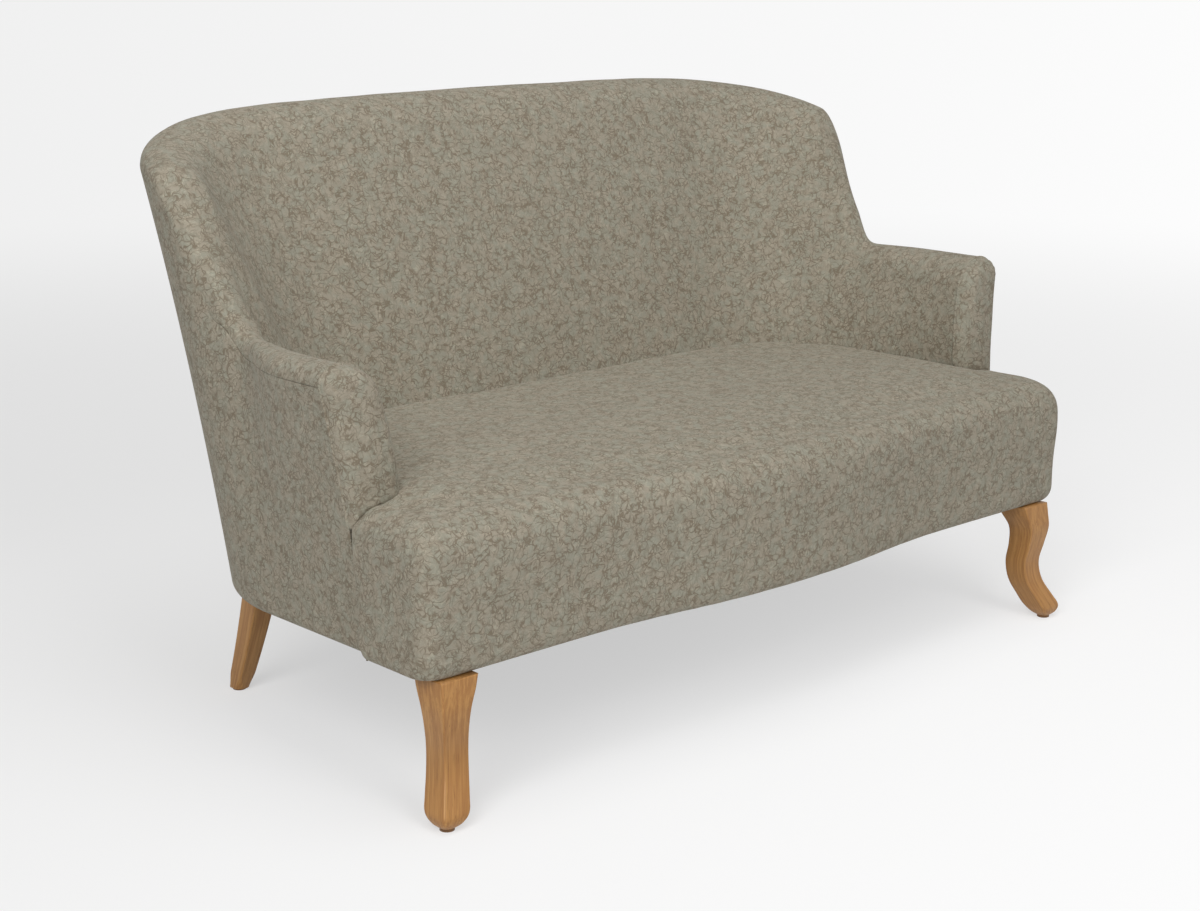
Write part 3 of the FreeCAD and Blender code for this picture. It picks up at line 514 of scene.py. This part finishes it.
# Materials
class Nodes:
    # Small helper to write the node tree of a material or world as nested calls
    def __init__(self, owner, output):
        owner.use_nodes = True
        self.owner = owner
        self.tree = owner.node_tree
        self.tree.nodes.clear()
        self.out = self.tree.nodes.new(output)

    def node(self, kind, inputs=None, **settings):
        n = self.tree.nodes.new(kind)
        for key, value in settings.items():
            setattr(n, key, value)
        for key, value in (inputs or {}).items():
            if isinstance(value, bpy.types.NodeSocket):
                self.tree.links.new(value, n.inputs[key])
            else:
                n.inputs[key].default_value = value
        return n

    def place(self):
        return self.node("ShaderNodeTexCoord").outputs["Object"]

    def math(self, operation, a, b=0.0, clamp=False):
        return self.node("ShaderNodeMath", {0: a, 1: b}, operation=operation, use_clamp=clamp).outputs[0]

    def times(self, a, b):
        return self.math("MULTIPLY", a, b)

    def vector(self, operation, a, b=(0, 0, 0), output=0):
        return self.node("ShaderNodeVectorMath", {0: a, 1: b}, operation=operation).outputs[output]

    def stretched(self, a, factors):
        return self.vector("MULTIPLY", a, factors)

    def scaled(self, a, factor):
        return self.stretched(a, (factor,) * 3)

    def split(self, a):
        return self.node("ShaderNodeSeparateXYZ", {0: a}).outputs

    def noise(self, at, scale, detail, rough=0.5, output="Fac"):
        inputs = {"Vector": at, "Scale": scale, "Detail": detail, "Roughness": rough}
        return self.node("ShaderNodeTexNoise", inputs).outputs[output]

    def warp(self, at, scale, amount, detail=1.0):
        shift = self.vector("SUBTRACT", self.noise(at, scale, detail, output="Color"), (0.5, 0.5, 0.5))
        return self.vector("ADD", at, self.scaled(shift, amount))

    def edges(self, at, scale):
        inputs = {"Vector": at, "Scale": scale, "Randomness": 1.0}
        return self.node("ShaderNodeTexVoronoi", inputs, feature="DISTANCE_TO_EDGE").outputs["Distance"]

    def ramp(self, value, low, high, out_low=0.0, out_high=1.0, kind="SMOOTHSTEP"):
        inputs = {"Value": value, "From Min": low, "From Max": high, "To Min": out_low, "To Max": out_high}
        return self.node("ShaderNodeMapRange", inputs, interpolation_type=kind).outputs["Result"]

    def blend(self, factor, a, b, mode="MIX"):
        inputs = {0: factor, 6: a, 7: b}
        return self.node("ShaderNodeMix", inputs, data_type="RGBA", blend_type=mode).outputs[2]

    def bump(self, height, distance, strength):
        inputs = {"Height": height, "Distance": distance, "Strength": strength}
        return self.node("ShaderNodeBump", inputs).outputs["Normal"]

    def seen(self):
        # 1 on rays from the camera, also by way of a reflection or through glass
        path = self.node("ShaderNodeLightPath").outputs
        indirect = self.math("MAXIMUM", path["Is Glossy Ray"], path["Is Transmission Ray"])
        return self.math("MAXIMUM", path["Is Camera Ray"], indirect)

    def finish(self, shader):
        self.tree.links.new(shader, self.out.inputs["Surface"])
        return self.owner

    def principled(self, **inputs):
        named = {key.replace("_", " "): value for key, value in inputs.items()}
        return self.finish(self.node("ShaderNodeBsdfPrincipled", named).outputs[0])


def new_material(name):
    return Nodes(bpy.data.materials.new(name), "ShaderNodeOutputMaterial")


def rgb(r, g, b):
    # sRGB 0-255 to a linear colour
    def linear(v):
        v /= 255.0
        return v / 12.92 if v <= 0.04045 else ((v + 0.055) / 1.055) ** 2.4
    return (linear(r), linear(g), linear(b), 1.0)


WEAVE_PITCH = 0.0016
FABRIC_WARM = rgb(160, 152, 136)
FABRIC_SAGE = rgb(154, 152, 137)
FABRIC_SHADE = rgb(146, 140, 124)
FABRIC_STRAND = rgb(176, 170, 152)
FABRIC_LINE = rgb(120, 108, 91)
# Crumpled cells: their shift, turn, stretch and number per metre, the width of their outline, and the
# noise that keeps it: its shift, number per metre, limits and least share
FIRST_LINES = dict(shift=(0.1, 0.3, 0.2), turn=(0.4, 0.7, 0.3), stretch=(0.40, 1.0, 1.0), scale=105.0,
                   width=0.095, mask_shift=(0.9, 0.4, 0.7), mask_scale=70.0, mask=(0.36, 0.56), least=0.15)
SECOND_LINES = dict(shift=(0.7, 0.1, 0.5), turn=(0.9, -0.5, 1.1), stretch=(1.0, 0.8, 0.38), scale=120.0,
                    width=0.095, mask_shift=(0.1, 0.6, 0.2), mask_scale=70.0, mask=(0.40, 0.60), least=0.10)
THIRD_LINES = dict(shift=(0.4, 0.9, 0.6), turn=(-0.6, 0.8, 0.2), stretch=(1.0, 0.42, 0.9), scale=165.0,
                   width=0.100, mask_shift=(0.3, 0.2, 0.8), mask_scale=95.0, mask=(0.42, 0.60), least=0.0)
STRANDS = dict(shift=(0.2, 0.8, 0.5), turn=(0.5, 0.2, -0.8), stretch=(0.36, 0.9, 1.0), scale=135.0,
               width=0.085, mask_shift=(0.6, 0.9, 0.1), mask_scale=85.0, mask=(0.46, 0.60), least=0.0)
THIRD_SHARE, SHADE_SHARE, STRAND_SHARE, LINE_SHARE = 0.6, 0.25, 0.55, 0.82
WEAVE_TONE, FUZZ_TONE = 0.045, 0.09
FUZZ_HEIGHT, LINE_HEIGHT, WEAVE_HEIGHT = 0.5, 0.45, 0.22


def woven(m, at):
    # Fine weave on the face that the surface turns to
    normal = m.node("ShaderNodeTexCoord").outputs["Normal"]
    wave = m.split(m.vector("SINE", m.scaled(m.warp(at, 9.0, 0.004, 0.0), 2 * math.pi / WEAVE_PITCH)))
    weight = m.split(m.vector("ABSOLUTE", normal))
    weave = 0.0
    for axis, a, b in ((0, 1, 2), (1, 0, 2), (2, 0, 1)):
        crossed = m.times(wave[a], wave[b])
        weave = m.math("ADD", weave, m.times(crossed, m.ramp(weight[axis], 0.35, 0.75)))
    return weave


def fabric_material():
    m = new_material("upholstery_fabric")
    at = m.place()
    loose = m.warp(m.warp(at, 55.0, 0.018), 190.0, 0.0050)

    def strokes(shift, turn, stretch, scale, width, mask_shift, mask_scale, mask, least):
        # Thin outlines of long crumpled cells
        inputs = {"Vector": loose, "Location": shift, "Rotation": turn, "Scale": stretch}
        cells = m.edges(m.node("ShaderNodeMapping", inputs).outputs[0], scale)
        line = m.ramp(cells, 0.25 * width, width, 1.0, 0.0)
        kept = m.ramp(m.noise(m.vector("ADD", at, mask_shift), mask_scale, 1.0), *mask, least, 1.0)
        return m.times(line, kept)

    lines = m.math("MAXIMUM", strokes(**FIRST_LINES), strokes(**SECOND_LINES))
    lines = m.math("MAXIMUM", lines, m.times(strokes(**THIRD_LINES), THIRD_SHARE), True)
    strand = strokes(**STRANDS)
    weave = woven(m, at)
    fuzz = m.noise(at, 800.0, 2.0, 0.6)
    patch = m.ramp(m.noise(m.warp(at, 60.0, 0.012), 60.0, 1.0), 0.38, 0.62)
    shade = m.ramp(m.noise(at, 38.0, 2.0), 0.42, 0.62)
    colour = m.blend(patch, FABRIC_WARM, FABRIC_SAGE)
    colour = m.blend(m.times(shade, SHADE_SHARE), colour, FABRIC_SHADE)
    colour = m.blend(m.times(strand, STRAND_SHARE), colour, FABRIC_STRAND)
    colour = m.blend(m.times(lines, LINE_SHARE), colour, FABRIC_LINE)
    fuzz_tone = m.ramp(fuzz, 0.3, 0.7, 1 - FUZZ_TONE, 1 + FUZZ_TONE, "LINEAR")
    tone = m.math("ADD", m.times(weave, WEAVE_TONE), fuzz_tone)
    grey = m.node("ShaderNodeCombineColor", {0: tone, 1: tone, 2: tone}).outputs[0]
    colour = m.blend(1.0, colour, grey, "MULTIPLY")
    height = m.math("SUBTRACT", m.times(fuzz, FUZZ_HEIGHT), m.times(lines, LINE_HEIGHT))
    height = m.math("ADD", height, m.times(weave, WEAVE_HEIGHT))
    return m.principled(Base_Color=colour, Roughness=0.92, Normal=m.bump(height, 0.0006, 0.5),
                        Sheen_Weight=0.12, Sheen_Roughness=0.5, Sheen_Tint=(0.9, 0.87, 0.8, 1.0),
                        Specular_IOR_Level=0.15)


def wood_material(name, light, dark, pore, roughness, coat, carved):
    # Grain runs along Z; a carved piece carries its own straightened coordinates in the attribute "grain"
    m = new_material(name)
    at = m.node("ShaderNodeAttribute", attribute_name="grain").outputs["Vector"] if carved else m.place()
    flow = m.warp(m.stretched(at, (1.0, 1.0, 0.35)), 9.0, 0.010)
    along = m.stretched(flow, (1.0, 1.0, 0.06))
    rings = m.ramp(m.noise(along, 230.0, 2.0, 0.6), 0.36, 0.64)
    lines = m.ramp(m.noise(m.stretched(flow, (1.0, 1.0, 0.03)), 620.0, 1.0), 0.42, 0.58, 1.0, 0.0)
    pores = m.ramp(m.noise(m.stretched(flow, (1.0, 1.0, 0.09)), 1300.0, 1.0), 0.30, 0.42, 1.0, 0.0)
    pores = m.times(pores, m.ramp(m.noise(along, 300.0, 1.0), 0.40, 0.60))
    broad = m.ramp(m.noise(at, 14.0, 1.0), 0.3, 0.7)
    colour = m.blend(rings, dark, light)
    for share, amount, tint in ((lines, 0.30, dark), (pores, 0.60, pore), (broad, 0.22, dark)):
        colour = m.blend(m.times(share, amount), colour, tint)
    cut = m.math("MAXIMUM", pores, m.times(lines, 0.4))
    height = m.math("SUBTRACT", m.times(rings, 0.2), cut)
    rough = m.math("ADD", m.times(pores, 0.15), roughness)
    return m.principled(Base_Color=colour, Roughness=rough, Normal=m.bump(height, 0.0002, 0.5),
                        Coat_Weight=coat, Coat_Roughness=0.35)


def plain_material(name, colour, second, scale, roughness, bump_scale, bump_size, metallic=0.0, sheen=0.0):
    # Two mottled colours and fine bumps; the scales are numbers per metre, the bumps' size is in metres
    m = new_material(name)
    at = m.place()
    tone = m.blend(m.ramp(m.noise(at, scale, 3.0, 0.6), 0.3, 0.7), colour, second)
    fine = m.noise(at, bump_scale, 2.0, 0.6)
    rough = m.ramp(fine, 0.2, 0.8, roughness - 0.08, roughness + 0.06, "LINEAR")
    return m.principled(Base_Color=tone, Roughness=rough, Normal=m.bump(fine, bump_size, 0.6),
                        Metallic=metallic, Sheen_Weight=sheen)


OAK = dict(light=rgb(190, 141, 80), dark=rgb(164, 114, 60), pore=rgb(120, 78, 38), roughness=0.5, coat=0.10)
SAWN = dict(light=rgb(214, 186, 142), dark=rgb(192, 160, 114), pore=rgb(150, 118, 78), roughness=0.75,
            coat=0.0)
PLAIN = {
    "foam": (rgb(226, 216, 176), rgb(212, 200, 158), 40, 0.9, 1400, 0.0006),
    "board": (rgb(150, 116, 80), rgb(136, 102, 68), 300, 0.7, 900, 0.0001),
    "steel": (rgb(176, 178, 182), rgb(150, 152, 158), 60, 0.38, 700, 0.00005, 1.0),
    "glide_plastic": (rgb(132, 98, 64), rgb(122, 90, 58), 200, 0.5, 900, 0.00008),
    "dust_cloth": (rgb(46, 46, 48), rgb(36, 36, 38), 500, 0.92, 1600, 0.0003, 0.0, 0.1),
    "felt": (rgb(170, 162, 150), rgb(120, 118, 116), 260, 0.95, 1200, 0.0005, 0.0, 0.2),
    "webbing": (rgb(150, 128, 92), rgb(96, 76, 50), 420, 0.85, 1000, 0.0004),
}

# The pieces
tub = sweep("inside_upholstery", both_sides(ARM_TO_MIDDLE), tub_section)
outside_arm = {side: sweep("outside_arm_" + word, one_side(ARM_PART, side), outside_section(0.0, BACK_SEAM))
               for side, word in SIDES.items()}
outside_back = sweep("outside_back", both_sides(BACK_PART), outside_section(BACK_SEAM, math.inf))
seat = seat_skin("seat", ["seat_cover", "seat_foam"])
facings = {side: facing(side) for side in SIDES}
welts = {side: welt(side) for side in SIDES}
legs = {}
for side, word in SIDES.items():
    legs["leg_front_" + word] = leg("oak_leg_front_" + word, FRONT_LEG, side, FRONT_LEG_ROWS)
    legs["leg_rear_" + word] = leg("oak_leg_rear_" + word, REAR_LEG, side, REAR_LEG_ROWS)
soft_noise(tub, 0.0016, 7.0, 3.0, lambda p: smooth(0.0, 0.03, p.z - 0.40))
soft_noise(seat, 0.0018, 8.0, 11.0, lambda p: smooth(0.26, 0.34, p.z))

# Materials on the frame and on the pieces that cover it
slot_materials = {
    "upholstery_fabric": fabric_material(),
    "leg_wood": wood_material("oak_satin", carved=True, **OAK),
    "frame_timber": wood_material("sawn_timber", carved=False, **SAWN),
}
for name, values in PLAIN.items():
    slot_materials[name] = plain_material(name, *values)
slot_of = {part["node"]: part["material_slot"] for part in frame["record"]["subparts"]}
for name, node in frame["nodes"].items():
    node.data.materials.clear()
    node.data.materials.append(slot_materials[slot_of[name]])


def dress(piece, slot, *nodes):
    piece.data.materials.clear()
    piece.data.materials.append(slot_materials[slot])
    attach(piece, "root")
    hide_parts(*nodes)


dress(tub, "upholstery_fabric", "inside_back_cover", "inside_arm_cover_left", "inside_arm_cover_right",
      "back_foam", "arm_foam_left", "arm_foam_right")
dress(outside_back, "upholstery_fabric", "outside_back_cover")
dress(seat, "upholstery_fabric", "seat_cover", "seat_foam")
for side, word in SIDES.items():
    dress(outside_arm[side], "upholstery_fabric", "outside_arm_cover_" + word)
    dress(facings[side], "upholstery_fabric", "facing_cover_" + word, "facing_pad_" + word)
    dress(welts[side], "upholstery_fabric", "facing_welt_" + word)
for name, piece in legs.items():
    dress(piece, "leg_wood", name)

# Studio: pale floor, world light and soft lamps
FLOOR_HALF = 40.0
# Painted light: the floor's colour runs from a shaded side to a lit side, standing in for the studio light's
# falloff
FLOOR_SHADED_END, FLOOR_LIT_END = rgb(238, 238, 238), rgb(254, 254, 254)
FLOOR_LIT_SIDE = (0.739, -0.674, 0.0)
FLOOR_SLANT_START, FLOOR_SLANT = 2.0, 0.4
# Share of its own light near the object, and the distances between which it grows to the whole
FLOOR_GLOW, FLOOR_GLOW_REACH = 0.6, (1.2, 5.5)
WORLD_LIGHT = 0.22
WORLD_SEEN = rgb(243, 243, 243)
WHITE = (1.0, 1.0, 1.0, 1.0)
LAMP_TARGET = (0.0, 0.0, 0.4)
# Lamps: place, diameter and power
LAMPS = {
    "key": ((-3.6, -2.0, 3.2), 2.8, 98.0),
    "front": ((-0.8, -4.4, 3.0), 2.8, 60.0),
    "top": ((0.0, -0.6, 4.2), 3.0, 54.0),
}
CAMERA_AT, CAMERA_AIM = (-2.1833, -2.3514, 1.1327), (0.6534, 0.7159, -0.2461)
CAMERA_LENS, CAMERA_SENSOR = 63.34, 36.0


def floor():
    m = new_material("studio_floor")
    at = m.place()
    # Painted light: brighter to one side, standing in for the studio light falling off across the floor, and
    # glowing fully away from the object
    along = m.vector("DOT_PRODUCT", at, FLOOR_LIT_SIDE, "Value")
    distance = m.vector("LENGTH", at, output="Value")
    slant = m.math("DIVIDE", along, m.math("ADD", distance, FLOOR_SLANT_START))
    tone = m.blend(m.ramp(slant, -FLOOR_SLANT, FLOOR_SLANT, kind="LINEAR"), FLOOR_SHADED_END, FLOOR_LIT_END)
    diffuse = m.node("ShaderNodeBsdfDiffuse", {"Color": tone, "Roughness": 0.5}).outputs[0]
    glow = m.node("ShaderNodeEmission", {"Color": tone, "Strength": 1.0}).outputs[0]
    share = m.times(m.seen(), m.ramp(distance, *FLOOR_GLOW_REACH, FLOOR_GLOW, 1.0))
    material = m.finish(m.node("ShaderNodeMixShader", {0: share, 1: diffuse, 2: glow}).outputs[0])
    corners = [(x * FLOOR_HALF, y * FLOOR_HALF, 0) for x, y in ((-1, -1), (1, -1), (1, 1), (-1, 1))]
    obj = new_object("studio_floor", corners, [(0, 1, 2, 3)], False)
    obj.data.materials.append(material)


def world():
    m = Nodes(bpy.data.worlds.new("studio"), "ShaderNodeOutputWorld")
    light = m.node("ShaderNodeBackground", {"Color": WHITE, "Strength": WORLD_LIGHT}).outputs[0]
    shown = m.node("ShaderNodeBackground", {"Color": WORLD_SEEN, "Strength": 1.0}).outputs[0]
    both = m.node("ShaderNodeMixShader", {0: m.seen(), 1: light, 2: shown}).outputs[0]
    bpy.context.scene.world = m.finish(both)


def lamp(name, at, size, power):
    data = bpy.data.lights.new(name, "AREA")
    data.shape = "DISK"
    data.size = size
    data.energy = power
    obj = bpy.data.objects.new(name, data)
    bpy.context.scene.collection.objects.link(obj)
    obj.location = at
    obj.rotation_euler = (Vector(LAMP_TARGET) - Vector(at)).to_track_quat("-Z", "Y").to_euler()


def camera():
    data = bpy.data.cameras.new("camera")
    obj = bpy.data.objects.new("camera", data)
    bpy.context.scene.collection.objects.link(obj)
    data.lens = CAMERA_LENS
    data.sensor_width = CAMERA_SENSOR
    data.sensor_fit = "HORIZONTAL"
    obj.location = CAMERA_AT
    obj.rotation_euler = Vector(CAMERA_AIM).to_track_quat("-Z", "Y").to_euler()
    bpy.context.scene.camera = obj


floor()
world()
for name, values in LAMPS.items():
    lamp(name, *values)
camera()
bpy.context.scene.view_settings.view_transform = "Standard"
